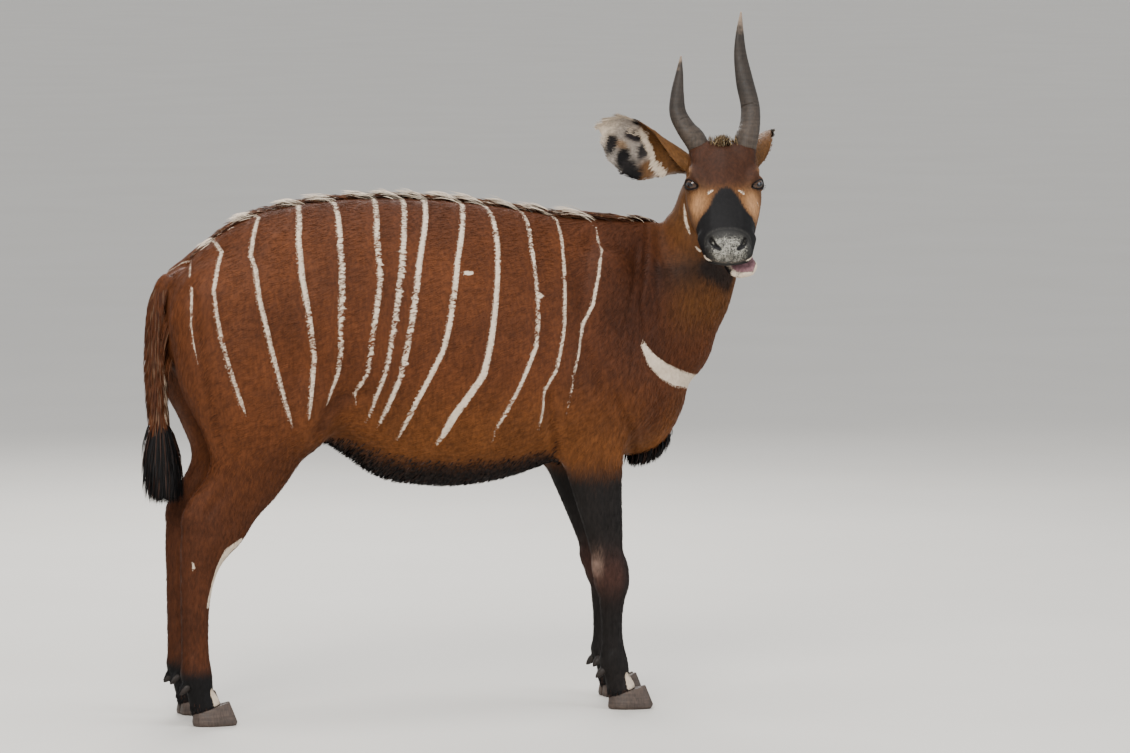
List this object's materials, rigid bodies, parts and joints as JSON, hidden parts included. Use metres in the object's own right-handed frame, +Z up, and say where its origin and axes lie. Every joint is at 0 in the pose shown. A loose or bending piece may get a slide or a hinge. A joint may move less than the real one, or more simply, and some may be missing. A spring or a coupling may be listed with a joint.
{
  "type": "bongo antelope model",
  "caption": "Life-size still model of a standing bongo antelope, head turned to its right, with horns, large ears, back crest and tufted tail, resting on its hooves.",
  "frame": {"origin": "middle of the model's box at floor level, under the belly", "axes": "+Z up, the tallest way, to the tip of the left horn; +X forward along the body; +Y to the animal's left, the narrowest way"},
  "size_m": [1.6028, 0.5918, 1.6635],
  "materials": {
    "coat": "short chestnut hair",
    "dark_coat": "short dark brown hair",
    "black_hair": "long black hair",
    "horn": "smooth worn horn",
    "hoof": "dull horn",
    "eye": "wet gloss",
    "mouth": "moist flesh"
  },
  "bodies": {
    "root": {"ear_left": "coat", "ear_right": "coat", "eye_left": "eye", "eye_right": "eye", "head": "coat", "hoof_fore_left_inner": "hoof", "hoof_fore_left_outer": "hoof", "hoof_fore_right_inner": "hoof", "hoof_fore_right_outer": "hoof", "hoof_hind_left_inner": "hoof", "hoof_hind_left_outer": "hoof", "hoof_hind_right_inner": "hoof", "hoof_hind_right_outer": "hoof", "horn_left": "horn", "horn_right": "horn", "leg_fore_left_lower": "dark_coat", "leg_fore_left_upper": "dark_coat", "leg_fore_right_lower": "dark_coat", "leg_fore_right_upper": "dark_coat", "leg_hind_left_lower": "dark_coat", "leg_hind_left_upper": "coat", "leg_hind_right_lower": "dark_coat", "leg_hind_right_upper": "coat", "lower_jaw": "dark_coat", "neck": "coat", "tail": "black_hair", "tongue": "mouth", "torso": "coat"}
  },
  "joints": []
}
